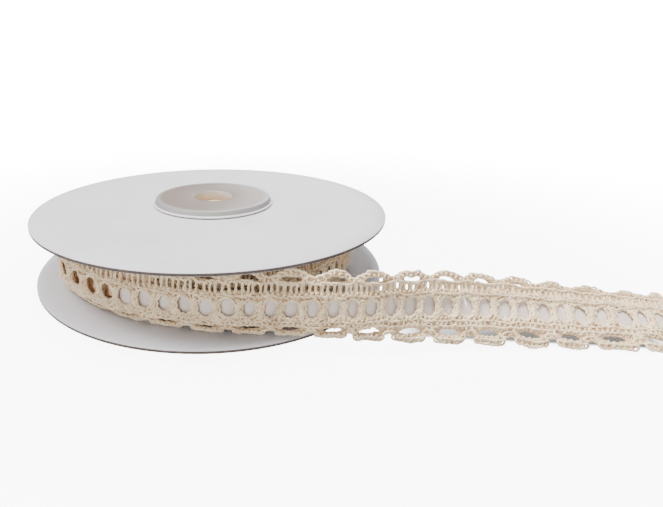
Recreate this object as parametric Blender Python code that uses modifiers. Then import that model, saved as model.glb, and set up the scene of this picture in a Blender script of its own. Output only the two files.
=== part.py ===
"""Card reel of scalloped cotton lace trim, with a satin ribbon threaded through its eyelet row.

Run with: blender --background --python part.py
Metres, +Z up. The reel lies flat on its hub, and the loose end of the lace runs off to +X.
The origin is at the centre of the whole part's footprint, on the surface that it rests on.
"""

import math

import bmesh
import bpy
from mathutils import Matrix, Vector

GAP = 0.0003

# Card discs
DISC_RADIUS = 0.0500
DISC_THICKNESS = 0.0008
DISC_STEPS = 72

# Plastic hub, two halves that meet inside the roll
HUB_RIM_RADIUS = 0.0177
HUB_FACE_RADIUS = 0.0168
HUB_FLANGE_HEIGHT = 0.0017
HUB_TUBE_RADIUS = 0.0100
HUB_BORE_RADIUS = 0.0059
HUB_LIP_CHAMFER = 0.0004
HUB_STEPS = 40

# Lace, laid out flat: u runs along it, v across it from its middle
LACE_WIDTH = 0.0158
LACE_THICKNESS = 0.0010
WINDOWS_ROUND_ROLL = 61
WINDOW_PITCH = 0.00425
SCALLOP_PITCH = 2 * WINDOW_PITCH
WINDOW_WIDTH = 0.0025
WINDOW_HEIGHT = 0.0041
WINDOW_SIDES = 8
SLIT_LENGTH = 0.0041
SLIT_HEIGHT = 0.0009
SLIT_SIDES = 6
POCKET_DEPTH = 0.0008

# What differs between the lace's two edges
EDGE_COLUMNS = ("side", "dip_depth", "slit_inset")
EDGES = (
    (-1, 0.0017, 0.0025),
    (1, 0.0012, 0.0020),
)

# The dip between two scallops: the distance from its middle as a share of the scallops' pitch, and
# the share of its depth there
DIP_COLUMNS = ("share_of_pitch", "share_of_depth")
DIP_LINE = (
    (-0.20, 0.0),
    (-0.15, 0.6),
    (-0.07, 1.0),
    (0.07, 1.0),
    (0.15, 0.6),
    (0.20, 0.0),
)

# Ribbon behind the lace
RIBBON_WIDTH = 0.0062
RIBBON_THICKNESS = 0.0010

# One layer of the winding is the lace and the ribbon, each with its gap
LAYER = LACE_THICKNESS + RIBBON_THICKNESS + 2 * GAP
LEAVING_ANGLE = math.radians(-109.4)

# The outside of the winding: its radius in millimetres, this many degrees back round the roll from
# where the loose end leaves. Over the whole turn it winds in by one layer.
ROLL_COLUMNS = ("turned", "radius")
ROLL_OUTLINE = (
    (0, 41.9),
    (14, 41.4),
    (28, 41.5),
    (50, 43.0),
    (90, 42.7),
    (150, 41.7),
    (210, 40.7),
    (250, 40.2),
    (290, 40.0),
    (330, 39.6),
    (360, 41.9 - 1000 * LAYER),
)

# The loose end's lower edge, from where it leaves the roll, in millimetres from the reel's axis and
# from the table, and how far the lace leans back from upright, in degrees
TAIL_COLUMNS = ("x", "y", "height", "lean")
TAIL_ROUTE = (
    (-2.0, -43.3, 3.1, 0),
    (7.0, -45.0, 3.1, 1),
    (20.0, -47.2, 3.0, 3),
    (33.0, -49.3, 2.4, 9),
    (44.0, -49.9, 1.6, 20),
    (53.0, -50.4, 1.0, 29),
    (61.5, -51.2, 0.6, 37),
    (70.0, -52.3, 0.3, 45),
    (77.0, -53.3, 0.1, 50),
    (85.0, -54.5, 0.1, 56),
    (93.0, -55.7, 0.1, 61),
    (106.0, -57.6, 0.1, 66),
)
ROUTE_STEPS = 12
STATIONS_PER_WINDOW = 2

# Heights above the table
LOWER_DISC_BOTTOM = HUB_FLANGE_HEIGHT + GAP
LOWER_DISC_TOP = LOWER_DISC_BOTTOM + DISC_THICKNESS
ROLL_BOTTOM = LOWER_DISC_TOP + GAP
ROLL_TOP = ROLL_BOTTOM + LACE_WIDTH
UPPER_DISC_BOTTOM = ROLL_TOP + GAP
REEL_MIDDLE = (ROLL_BOTTOM + ROLL_TOP) / 2

# Colours, as linear RGB, with roughness
CARD_WHITE = ((0.72, 0.72, 0.74), 0.75)
MILKY_PLASTIC = ((0.52, 0.49, 0.47), 0.35)
CREAM_COTTON = ((0.72, 0.62, 0.49), 0.95)
WHITE_SATIN = ((0.75, 0.73, 0.71), 0.30)


def clear_scene():
    """Remove whatever the file starts with."""
    for thing in list(bpy.data.objects):
        bpy.data.objects.remove(thing, do_unlink=True)


def new_collection(name):
    """A collection linked to the scene."""
    collection = bpy.data.collections.new(name)
    bpy.context.scene.collection.children.link(collection)
    return collection


def new_material(name, finish):
    """A plain Principled material of this colour and roughness."""
    colour, roughness = finish
    material = bpy.data.materials.new(name)
    material.use_nodes = True
    shader = material.node_tree.nodes["Principled BSDF"]
    shader.inputs["Base Color"].default_value = (*colour, 1.0)
    shader.inputs["Roughness"].default_value = roughness
    shader.inputs["Metallic"].default_value = 0.0
    return material


def new_object(name, mesh, collection, material=None):
    """An object that holds this mesh."""
    thing = bpy.data.objects.new(name, mesh)
    collection.objects.link(thing)
    if material is not None:
        mesh.materials.clear()
        mesh.materials.append(material)
    return thing


def turned(name, profile, steps, collection, material):
    """A solid of revolution round Z. The profile holds (radius, height) and runs down its outer side."""
    mesh = bpy.data.meshes.new(name)
    shape = bmesh.new()
    points = [shape.verts.new((radius, 0.0, height)) for radius, height in profile]
    for start, end in zip(points, points[1:] + points[:1]):
        shape.edges.new((start, end))
    shape.to_mesh(mesh)
    shape.free()
    thing = new_object(name, mesh, collection, material)
    screw = thing.modifiers.new("turn", "SCREW")
    screw.axis = "Z"
    screw.steps = steps
    screw.render_steps = steps
    screw.use_merge_vertices = True
    screw.merge_threshold = 0.00001
    return thing


def flat_outline(name, outline, holes, thickness, collection):
    """A flat mesh in XY of this outline, with holes, centred on Z."""
    curve = bpy.data.curves.new(name, "CURVE")
    curve.dimensions = "2D"
    curve.fill_mode = "BOTH"
    curve.extrude = thickness / 2
    for loop in [outline, *holes]:
        spline = curve.splines.new("POLY")
        spline.points.add(len(loop) - 1)
        for point, (x, y) in zip(spline.points, loop):
            point.co = (x, y, 0.0, 1.0)
        spline.use_cyclic_u = True
    guide = bpy.data.objects.new(name + "_outline", curve)
    collection.objects.link(guide)
    graph = bpy.context.evaluated_depsgraph_get()
    mesh = bpy.data.meshes.new_from_object(guide.evaluated_get(graph))
    bpy.data.objects.remove(guide)
    shape = bmesh.new()
    shape.from_mesh(mesh)
    bmesh.ops.remove_doubles(shape, verts=shape.verts, dist=0.000001)
    bmesh.ops.recalc_face_normals(shape, faces=shape.faces)
    shape.to_mesh(mesh)
    shape.free()
    mesh.name = name
    return mesh


def ring_points(width, height, sides, centre):
    """An oval hole with this many sides."""
    return [
        (
            centre[0] + width / 2 * math.cos(2 * math.pi * (side + 0.5) / sides),
            centre[1] + height / 2 * math.sin(2 * math.pi * (side + 0.5) / sides),
        )
        for side in range(sides)
    ]


def oval_size(size, sides):
    """How wide an oval is drawn so that its flat sides lie this far apart."""
    return size / math.cos(math.pi / sides)


def card_disc(name, bottom, collection, material):
    """A plain card disc with a hole for the hub's tube."""
    hole = HUB_TUBE_RADIUS + GAP
    top = bottom + DISC_THICKNESS
    profile = ((hole, top), (DISC_RADIUS, top), (DISC_RADIUS, bottom), (hole, bottom))
    return turned(name, profile, DISC_STEPS, collection, material)


def hub_half(name, is_upper, collection, material):
    """One half of the hub: a tapered flange outside its disc, and a bored tube to the reel's middle."""
    outside = HUB_FLANGE_HEIGHT + GAP + DISC_THICKNESS + GAP + LACE_WIDTH / 2 - GAP / 2
    under_flange = outside - HUB_FLANGE_HEIGHT
    profile = [
        (HUB_BORE_RADIUS + HUB_LIP_CHAMFER, outside),
        (HUB_FACE_RADIUS, outside),
        (HUB_RIM_RADIUS, under_flange),
        (HUB_TUBE_RADIUS, under_flange),
        (HUB_TUBE_RADIUS, 0.0),
        (HUB_BORE_RADIUS, 0.0),
        (HUB_BORE_RADIUS, outside - HUB_LIP_CHAMFER),
    ]
    if is_upper:
        base = REEL_MIDDLE + GAP / 2
        placed = [(radius, base + height) for radius, height in profile]
    else:
        base = REEL_MIDDLE - GAP / 2
        placed = [(radius, base - height) for radius, height in reversed(profile)]
    return turned(name, placed, HUB_STEPS, collection, material)


def smooth_between(before, start, end, after, share):
    """Catmull-Rom interpolation of one number."""
    return 0.5 * (
        2 * start
        + (end - before) * share
        + (2 * before - 5 * start + 4 * end - after) * share**2
        + (3 * start - before - 3 * end + after) * share**3
    )


def roll_radius(turned):
    """The radius of the roll's outside, this many degrees back from where the loose end leaves."""
    rows = ROLL_OUTLINE
    last = len(rows) - 1
    index = next(i for i in range(1, last + 1) if i == last or rows[i][0] >= turned)
    share = (turned - rows[index - 1][0]) / (rows[index][0] - rows[index - 1][0])
    four = [rows[min(max(index + step, 0), last)][1] for step in (-2, -1, 0, 1)]
    return smooth_between(*four, share) / 1000


def roll_corner(index):
    """A corner of the roll's outer turn.

    Corner 0 is where the loose end leaves, and they run back round the roll from there.
    """
    share = index / WINDOWS_ROUND_ROLL
    angle = LEAVING_ANGLE - 2 * math.pi * share
    radius = roll_radius(360 * share)
    return Vector((radius * math.cos(angle), radius * math.sin(angle), 0.0))


def side_frame(index):
    """The frame of one flat side of the roll: X along it, Y up, Z outwards, at mid-height."""
    start, end = roll_corner(index + 1), roll_corner(index)
    along = (end - start).normalized()
    up = Vector((0.0, 0.0, 1.0))
    outwards = along.cross(up)
    centre = (start + end) / 2 + up * REEL_MIDDLE
    frame = Matrix((along, up, outwards)).transposed().to_4x4()
    frame.translation = centre
    return frame


def has_scallop(index):
    """Whether this side holds a scallop. The sides between hold the dip."""
    return index % 2 == 0


def window_outline(centre):
    """One eyelet, which the ribbon shows through."""
    width = oval_size(WINDOW_WIDTH, WINDOW_SIDES)
    return ring_points(width, oval_size(WINDOW_HEIGHT, WINDOW_SIDES), WINDOW_SIDES, (centre, 0.0))


def slit_outline(centre, edge, inset):
    """The long thin gap inside a scallop's rim."""
    across = edge * (LACE_WIDTH / 2 - inset)
    return ring_points(SLIT_LENGTH, SLIT_HEIGHT, SLIT_SIDES, (centre, across))


def dip_points(middle, edge, depth):
    """The line of a dip between two scallops."""
    return [
        (middle + share * SCALLOP_PITCH, edge * (LACE_WIDTH / 2 - share_of_depth * depth))
        for share, share_of_depth in DIP_LINE
    ]


def add_pocket_cutter(shape, frame, loop, depth):
    """Add a prism that cuts a pocket of this outline into a side of the roll."""
    base = [shape.verts.new(frame @ Vector((x, y, -depth))) for x, y in loop]
    face = shape.faces.new(base)
    made = bmesh.ops.extrude_face_region(shape, geom=[face])
    moved = [part for part in made["geom"] if isinstance(part, bmesh.types.BMVert)]
    bmesh.ops.translate(shape, verts=moved, vec=frame.to_3x3() @ Vector((0, 0, 2 * depth)))


def add_side_cutters(shape, index):
    """Add the cutters of one side of the roll: its eyelet, and its slits or its dips."""
    frame = side_frame(index)
    add_pocket_cutter(shape, frame, window_outline(0.0), POCKET_DEPTH)
    for edge, depth, inset in EDGES:
        if has_scallop(index):
            add_pocket_cutter(shape, frame, slit_outline(0.0, edge, inset), POCKET_DEPTH)
        else:
            dip = dip_points(0.0, edge, depth)
            past = edge * (LACE_WIDTH / 2 + GAP / 2)
            loop = [(dip[0][0], past), *dip, (dip[-1][0], past)]
            add_pocket_cutter(shape, frame, loop, LAYER)


def wound_roll(collection, cutters, material):
    """The wound lace as one solid: a spiral outline with its eyelets, slits and scallops sunk in."""
    outline = [roll_corner(index).to_2d()[:] for index in range(WINDOWS_ROUND_ROLL + 1)]
    across = oval_size(2 * (HUB_TUBE_RADIUS + GAP), HUB_STEPS)
    bore = ring_points(across, across, HUB_STEPS, (0.0, 0.0))
    mesh = flat_outline("lace_roll", outline, [bore], LACE_WIDTH, collection)
    mesh.transform(Matrix.Translation((0.0, 0.0, REEL_MIDDLE)))
    roll = new_object("lace_roll", mesh, collection, material)

    shape = bmesh.new()
    for index in range(WINDOWS_ROUND_ROLL):
        add_side_cutters(shape, index)
    bmesh.ops.recalc_face_normals(shape, faces=shape.faces)
    cutter_mesh = bpy.data.meshes.new("lace_cutters")
    shape.to_mesh(cutter_mesh)
    shape.free()
    cutter = new_object("lace_cutters", cutter_mesh, cutters)
    cutter.hide_render = True
    cutter.display_type = "WIRE"
    cut = roll.modifiers.new("pattern", "BOOLEAN")
    cut.operation = "DIFFERENCE"
    cut.object = cutter
    return roll


class TailRoute:
    """The loose end's way: a frame for each distance along its lower edge."""

    def __init__(self):
        """Read the rows through a smooth curve, with even steps of length."""
        middle = roll_radius(0) - LACE_THICKNESS / 2
        leaving = Vector((math.cos(LEAVING_ANGLE), math.sin(LEAVING_ANGLE))) * middle
        heading = Vector((-math.sin(LEAVING_ANGLE), math.cos(LEAVING_ANGLE)))
        rows = [(*leaving, ROLL_BOTTOM, 0.0)]
        for x, y, height, lean in TAIL_ROUTE:
            corner = LACE_THICKNESS / 2 * math.sin(math.radians(lean))
            rows.append((x / 1000, y / 1000, height / 1000 + corner, math.radians(lean)))
        before = leaving - heading * 0.030
        rows.insert(0, (*before, ROLL_BOTTOM, 0.0))
        last, previous = rows[-1], rows[-2]
        rows.append(tuple(2 * a - b for a, b in zip(last, previous)))
        self.samples = []
        for index in range(1, len(rows) - 2):
            for step in range(ROUTE_STEPS):
                share = step / ROUTE_STEPS
                four = rows[index - 1 : index + 3]
                self.samples.append(tuple(smooth_between(*column, share) for column in zip(*four)))
        self.samples.append(rows[-2])
        self.lengths = [0.0]
        for start, end in zip(self.samples, self.samples[1:]):
            self.lengths.append(self.lengths[-1] + (Vector(end[:3]) - Vector(start[:3])).length)

    def at(self, distance):
        """The lower edge's point, the way along, the way up the lace, and the way out of its front."""
        distance = min(max(distance, 0.0), self.lengths[-1])
        index = next(i for i in range(1, len(self.lengths)) if self.lengths[i] >= distance)
        low, high = self.lengths[index - 1], self.lengths[index]
        share = (distance - low) / (high - low)
        start, end = self.samples[index - 1], self.samples[index]
        point = [a + (b - a) * share for a, b in zip(start, end)]
        along = (Vector(end[:3]) - Vector(start[:3])).normalized()
        side = Vector((0.0, 0.0, 1.0)).cross(along).normalized()
        upright = along.cross(side).normalized()
        across = upright * math.cos(point[3]) + side * math.sin(point[3])
        front = along.cross(across).normalized()
        return Vector(point[:3]), along, across, front


def bend_to_route(mesh, route, start, back):
    """Bend a flat mesh along the route. It is set back from the lace's own middle by this much."""
    for vertex in mesh.vertices:
        u, v, w = vertex.co
        point, along, across, front = route.at(start + u)
        overrun = start + u - route.lengths[-1]
        if overrun > 0:
            point = point + along * overrun
        vertex.co = point + across * (v + LACE_WIDTH / 2) + front * (w - back)


def cross_cut(mesh, length):
    """Cut a flat strip at even stations, so that it can bend, with one face from station to station."""
    shape = bmesh.new()
    shape.from_mesh(mesh)
    step = WINDOW_PITCH / STATIONS_PER_WINDOW
    for station in range(1, round(length / step)):
        geometry = [*shape.verts, *shape.edges, *shape.faces]
        bmesh.ops.bisect_plane(shape, geom=geometry, plane_co=(station * step, 0, 0), plane_no=(1, 0, 0))
    for face in shape.faces:
        face.material_index = int(face.calc_center_median().x / step) % 2
    bmesh.ops.dissolve_limit(
        shape, angle_limit=math.radians(1), verts=[], edges=shape.edges, delimit={"MATERIAL"}
    )
    for face in shape.faces:
        face.material_index = 0
    spare = [vertex for vertex in shape.verts if len(vertex.link_edges) == 2]
    bmesh.ops.dissolve_verts(shape, verts=spare)
    bmesh.ops.triangulate(shape, faces=shape.faces)
    shape.to_mesh(mesh)
    shape.free()


def scallop_line(repeats, edge, depth):
    """The scalloped edge of a strip of this many repeats. Its first dip is a quarter of a repeat in."""
    rim = edge * LACE_WIDTH / 2
    line = [(0.0, rim)]
    for repeat in range(repeats):
        line += dip_points((repeat + 0.25) * SCALLOP_PITCH, edge, depth)
    line.append((repeats * SCALLOP_PITCH, rim))
    return line


def tail_lace(route, collection, material):
    """The loose end as a lace sheet with its eyelets and slits cut through."""
    repeats = int((route.lengths[-1] - GAP) / SCALLOP_PITCH)
    outline = []
    holes = [window_outline((index + 0.5) * WINDOW_PITCH) for index in range(2 * repeats)]
    for edge, depth, inset in EDGES:
        line = scallop_line(repeats, edge, depth)
        outline += line if edge < 0 else line[::-1]
        for repeat in range(repeats):
            holes.append(slit_outline((repeat + 0.75) * SCALLOP_PITCH, edge, inset))
    mesh = flat_outline("lace_tail", outline, holes, LACE_THICKNESS, collection)
    length = repeats * SCALLOP_PITCH
    cross_cut(mesh, length)
    bend_to_route(mesh, route, GAP, 0.0)
    return new_object("lace_tail", mesh, collection, material), length


def tail_ribbon(route, length, collection, material):
    """The satin ribbon behind the loose end's eyelets."""
    half = RIBBON_WIDTH / 2
    outline = [(0.0, -half), (length, -half), (length, half), (0.0, half)]
    mesh = flat_outline("ribbon_tail", outline, [], RIBBON_THICKNESS, collection)
    cross_cut(mesh, length)
    back = (LACE_THICKNESS + RIBBON_THICKNESS) / 2 + GAP
    bend_to_route(mesh, route, GAP, back)
    return new_object("ribbon_tail", mesh, collection, material)


def centre_on_footprint(parts, cutters):
    """Move every part so that the origin is under the middle of the whole object's footprint."""
    graph = bpy.context.evaluated_depsgraph_get()
    corners = []
    for part in parts:
        box = part.evaluated_get(graph).bound_box
        corners += [part.matrix_world @ Vector(corner) for corner in box]
    low = Vector([min(corner[axis] for corner in corners) for axis in range(3)])
    high = Vector([max(corner[axis] for corner in corners) for axis in range(3)])
    reel = bpy.data.objects.new("reel_axis", None)
    reel.location = (-(low.x + high.x) / 2, -(low.y + high.y) / 2, -low.z)
    bpy.context.scene.collection.objects.link(reel)
    for part in [*parts, *cutters]:
        part.parent = reel


def main():
    """Build the reel, the wound lace and its loose end."""
    clear_scene()
    parts = new_collection("lace_trim_reel")
    cutters = new_collection("cutters")
    card = new_material("white_card", CARD_WHITE)
    plastic = new_material("milky_plastic", MILKY_PLASTIC)
    cotton = new_material("cream_cotton", CREAM_COTTON)
    satin = new_material("white_satin", WHITE_SATIN)

    made = [
        card_disc("disc_lower", LOWER_DISC_BOTTOM, parts, card),
        card_disc("disc_upper", UPPER_DISC_BOTTOM, parts, card),
        hub_half("hub_lower", False, parts, plastic),
        hub_half("hub_upper", True, parts, plastic),
        wound_roll(parts, cutters, cotton),
    ]
    route = TailRoute()
    lace, length = tail_lace(route, parts, cotton)
    made += [lace, tail_ribbon(route, length, parts, satin)]
    bpy.context.view_layer.update()
    centre_on_footprint(made, cutters.objects)


main()
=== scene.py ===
"""Looks of a card reel of cotton crochet lace with a satin ribbon threaded behind its eyelets.

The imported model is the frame: its nodes give the reel's axis, the discs, the hub and the height of
the winding. The lace is worked in its own flat coordinates, s along it from where the loose end
leaves the roll, v across it from its middle and w out of its front, and is then laid on its path.
"""

import logging
import math
from collections.abc import Callable
from dataclasses import dataclass, field
from enum import Enum

import bmesh
import bpy
import numpy as np
from mathutils import Matrix, Vector


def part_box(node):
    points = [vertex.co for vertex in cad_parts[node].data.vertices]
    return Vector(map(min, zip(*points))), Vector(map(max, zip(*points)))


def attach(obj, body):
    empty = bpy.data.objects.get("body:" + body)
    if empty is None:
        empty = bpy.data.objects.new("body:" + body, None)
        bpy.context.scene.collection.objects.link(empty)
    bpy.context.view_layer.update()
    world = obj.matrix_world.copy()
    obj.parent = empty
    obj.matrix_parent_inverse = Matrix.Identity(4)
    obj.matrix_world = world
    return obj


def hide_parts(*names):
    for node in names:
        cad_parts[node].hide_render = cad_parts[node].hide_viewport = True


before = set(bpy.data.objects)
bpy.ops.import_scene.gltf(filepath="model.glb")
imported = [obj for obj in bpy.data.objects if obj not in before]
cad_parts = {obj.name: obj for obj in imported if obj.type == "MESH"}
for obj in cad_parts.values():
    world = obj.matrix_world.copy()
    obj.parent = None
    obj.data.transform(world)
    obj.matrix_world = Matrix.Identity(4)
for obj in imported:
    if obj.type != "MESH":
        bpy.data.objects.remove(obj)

LOG = logging.getLogger("lace_reel")
MM = 0.001
TURN = 2 * math.pi
BODY = "root"
MERGE = 0.001 * MM

Colour = tuple[float, float, float]
Sizes = tuple[float, float, float]
Span = tuple[float, float]
Chance = tuple[float, float]
Line = Callable[[np.ndarray], np.ndarray]
Shape = bmesh.types.BMesh
Mesh = bpy.types.Mesh
Piece = bpy.types.Object
Material = bpy.types.Material
Node = bpy.types.Node
Socket = bpy.types.NodeSocket
Fed = dict[str | int, object]
WHITE = (1.0, 1.0, 1.0, 1.0)

# The photograph's frame
PHOTO_WIDTH = 663
PHOTO_HEIGHT = 507

# The lace, laid out flat
LACE_WIDTH = 15.8 * MM
LACE_THICKNESS = 1.0 * MM
WINDOW_PITCH = 4.25 * MM
SCALLOP_PITCH = 2 * WINDOW_PITCH
WINDOW_WIDTH = 2.5 * MM
WINDOW_HEIGHT = 4.1 * MM
SLIT_LENGTH = 4.1 * MM
SLIT_HEIGHT = 0.9 * MM
LOWER_DIP = 1.7 * MM
UPPER_DIP = 1.2 * MM
LOWER_DIP_SHARES = (0.06, 0.21)
UPPER_DIP_SHARES = (0.00, 0.42)
UPPER_RIM_INSET = 0.3 * MM
LOWER_SLIT_INSET = 2.5 * MM
UPPER_SLIT_INSET = 2.0 * MM
POST_PITCH = SCALLOP_PITCH / 7
POST_LOW = 3.5 * MM
POST_HIGH = 5.1 * MM
WINDOWS_ROUND_ROLL = 61
WINDING_HOLE = 10.3 * MM
HUB_FACE_INSET = 1.0 * MM
LAYER = 2.6 * MM
LEAVING_ANGLE = math.radians(-109.4)

# Where each scallop dips and where it swells, as shares of its pitch
DIP_PLACE = 0.25
LOBE_PLACE = 0.75

# Where the outer turn's three lengths of lace start, in repeats back from where the loose end leaves
LACE_JOINS = (31, 21, 10)

# The upper slits' height where they have closed up, as a share, at a count of eyelets
UPPER_SLIT_SHARE = ((-62, 1.0), (11, 1.0), (13, 0.7), (17, 0.5), (21, 0.25), (28, 0.2))

# The gaps between the tall stitches, as a share, at a count of eyelets
POST_GAP_SHARE = ((-62, 1.0), (3, 1.0), (9, 0.6), (12, 0.3), (16, 0.15), (19, 0.0), (28, 0.0))

# How far the eyelets lean along the lace for each length across it
EYELET_LEAN = ((-62, 0.0), (15, 0.0), (20, 0.16), (28, 0.30))

# The ribbon's place behind the lace's middle, in millimetres, at a count of eyelets
RIBBON_LEVEL = (
    (-62, -0.66), (-8, -0.66), (-6, -2.4), (-1.7, -2.4), (-0.9, -0.66), (14, -0.66), (18, -0.50),
    (28, -0.50),
)

# How the lace is pulled unevenly: a count of eyelets from the leaving point, and the path's length
# there in eyelet pitches
PULL = (
    (-62, -62.0), (-5, -8.2), (-2.5, -4.1), (0, -0.9), (5, 4.6), (9.5, 9.2), (11.5, 11.0), (17.5, 17.3),
    (21.5, 21.6), (22.5, 22.5), (24.5, 25.0), (26.5, 26.9), (28, 28.0),
)

# How far the lace's middle has slipped down, in millimetres, at a count of eyelets
SLIP = (
    (-62, 2.0), (-44, 2.0), (-38, 0.0), (-9, 0.0), (-6, 1.8), (-4.5, 2.5), (-1.5, 2.3), (0.5, 1.9),
    (3, 1.7), (8, 1.4), (10.5, 0.9), (12.5, 0.2), (14, 0.0), (28, 0.0),
)
BULGE_TO_SLIP = 0.65
MOST_BULGE = 1.1 * MM

# The outside of the winding: degrees back round the roll, and the radius in millimetres
ROLL_OUTLINE = (
    (0, 41.9), (14, 41.4), (28, 41.5), (50, 43.0), (90, 42.7), (150, 41.7), (210, 40.7), (250, 40.2),
    (290, 40.0), (330, 39.6), (360, 39.3),
)

# The loose end's lower edge: x, y and height in millimetres from the reel's axis and the table, and its
# lean in degrees
TAIL_ROUTE = (
    (-2.0, -43.3, 3.1, 0), (7.0, -45.0, 3.1, 1), (20.0, -47.2, 3.0, 3), (33.0, -49.3, 2.4, 9),
    (44.0, -49.9, 1.6, 20), (53.0, -50.4, 1.0, 29), (61.5, -51.2, 0.6, 37), (70.0, -52.3, 0.3, 45),
    (77.0, -53.3, 0.1, 50), (85.0, -54.5, 0.1, 56), (93.0, -55.7, 0.1, 61), (106.0, -57.6, 0.1, 66),
)

# Samples for each row of the loose end's route, samples for each eyelet round the roll, and the straight
# run that leads into the route
ROUTE_STEPS = 12
ROLL_STEPS = 8
RUN_IN = 30 * MM


def smooth_between(before: float, start: float, end: float, after: float, share: float) -> float:
    """Ease one number from start to end by Catmull-Rom.

    Args:
        before: The value ahead of the start.
        start: The value that the step starts at.
        end: The value that the step ends at.
        after: The value past the end.
        share: The share of the way, from 0 to 1.

    Returns:
        The value there.
    """
    return 0.5 * (
        2 * start
        + (end - before) * share
        + (2 * before - 5 * start + 4 * end - after) * share**2
        + (3 * start - before - 3 * end + after) * share**3
    )


def roll_radius(turned: float) -> float:
    """Give the radius of the winding's outside.

    Args:
        turned: Degrees back round the roll from where the loose end leaves.

    Returns:
        The radius in metres.
    """
    rows = ROLL_OUTLINE
    last = len(rows) - 1
    if turned > rows[last][0]:
        return roll_radius(turned - 360) - LAYER
    index = next(i for i in range(1, last + 1) if i == last or rows[i][0] >= turned)
    share = (turned - rows[index - 1][0]) / (rows[index][0] - rows[index - 1][0])
    four = [rows[min(max(index + step, 0), last)][1] for step in (-2, -1, 0, 1)]
    return smooth_between(*four, share) * MM


def at_count(table: tuple[Span, ...], s: np.ndarray) -> np.ndarray:
    """Read a table of counts of eyelets and values, at distances along the lace."""
    return np.interp(s / WINDOW_PITCH, *zip(*table))


def off_place(s: np.ndarray, pitch: float, place: float) -> np.ndarray:
    """Tell how far distances lie from a place that repeats, in shares of its pitch from -0.5 to 0.5."""
    return np.mod(s / pitch - place + 0.5, 1.0) - 0.5


def dip_at(s: np.ndarray, depth: float, shares: Span) -> np.ndarray:
    """Tell how far a scalloped edge dips.

    Args:
        s: Distances along the lace.
        depth: The dip's full depth.
        shares: Where its floor ends and where it has run out, as shares of the scallops' pitch.

    Returns:
        The dip at each distance.
    """
    away = np.abs(off_place(s, SCALLOP_PITCH, DIP_PLACE))
    rise = np.clip((away - shares[0]) / (shares[1] - shares[0]), 0, 1)
    return depth * (1 - rise * rise * (3 - 2 * rise))


def lower_edge(s: np.ndarray) -> np.ndarray:
    """Give the lace's lower edge, across from its middle."""
    return -LACE_WIDTH / 2 + dip_at(s, LOWER_DIP, LOWER_DIP_SHARES)


def upper_edge(s: np.ndarray) -> np.ndarray:
    """Give the lace's upper edge, across from its middle."""
    return LACE_WIDTH / 2 - UPPER_RIM_INSET - dip_at(s, UPPER_DIP, UPPER_DIP_SHARES)


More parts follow.
